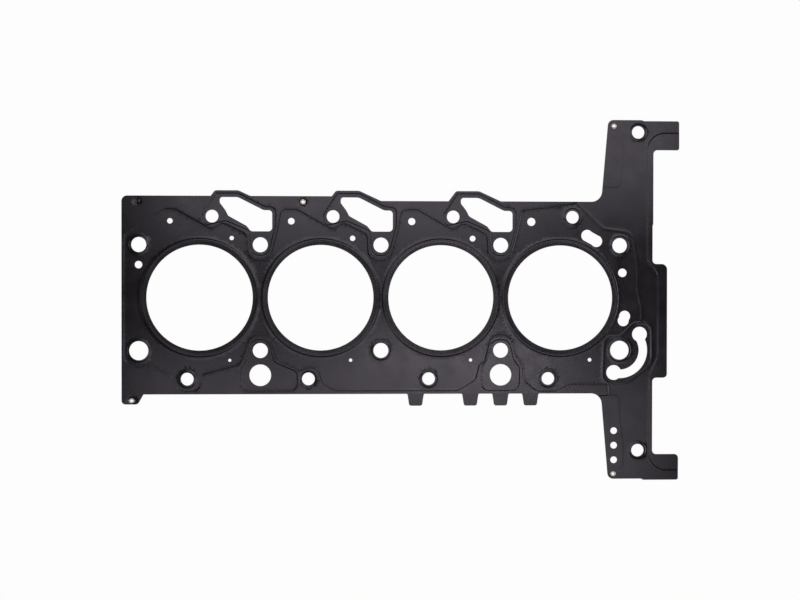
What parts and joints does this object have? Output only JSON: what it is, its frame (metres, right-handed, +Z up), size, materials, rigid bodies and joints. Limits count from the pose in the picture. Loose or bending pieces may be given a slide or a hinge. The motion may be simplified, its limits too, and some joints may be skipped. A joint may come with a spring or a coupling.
{
  "type": "cylinder head gasket",
  "caption": "Flat multi-layer steel cylinder head gasket for an in-line diesel engine, with beaded cylinder holes, coolant and oil openings and chain case flanges.",
  "frame": {"origin": "axis of the front cylinder hole, beside the chain case end, in the face towards the cylinder block", "axes": "+X along the engine towards the chain case, +Y across it towards the window-shaped openings, +Z up from the block to the head"},
  "size_m": [0.4619, 0.3, 0.0014],
  "materials": {
    "black_coating": "satin black elastomer coating on spring steel",
    "carrier_coating": "satin black elastomer coating on steel",
    "stopper_steel": "bare cold-rolled steel",
    "rivet_steel": "plated, bright"
  },
  "bodies": {
    "root": {"beaded_sheet": "black_coating", "carrier_sheet": "carrier_coating", "combustion_stopper_1": "stopper_steel", "combustion_stopper_2": "stopper_steel", "combustion_stopper_3": "stopper_steel", "combustion_stopper_4": "stopper_steel", "rivet_rear": "rivet_steel", "rivet_upper": "rivet_steel", "rivet_upper_flange": "rivet_steel", "rivet_lower_flange": "rivet_steel"}
  },
  "joints": []
}
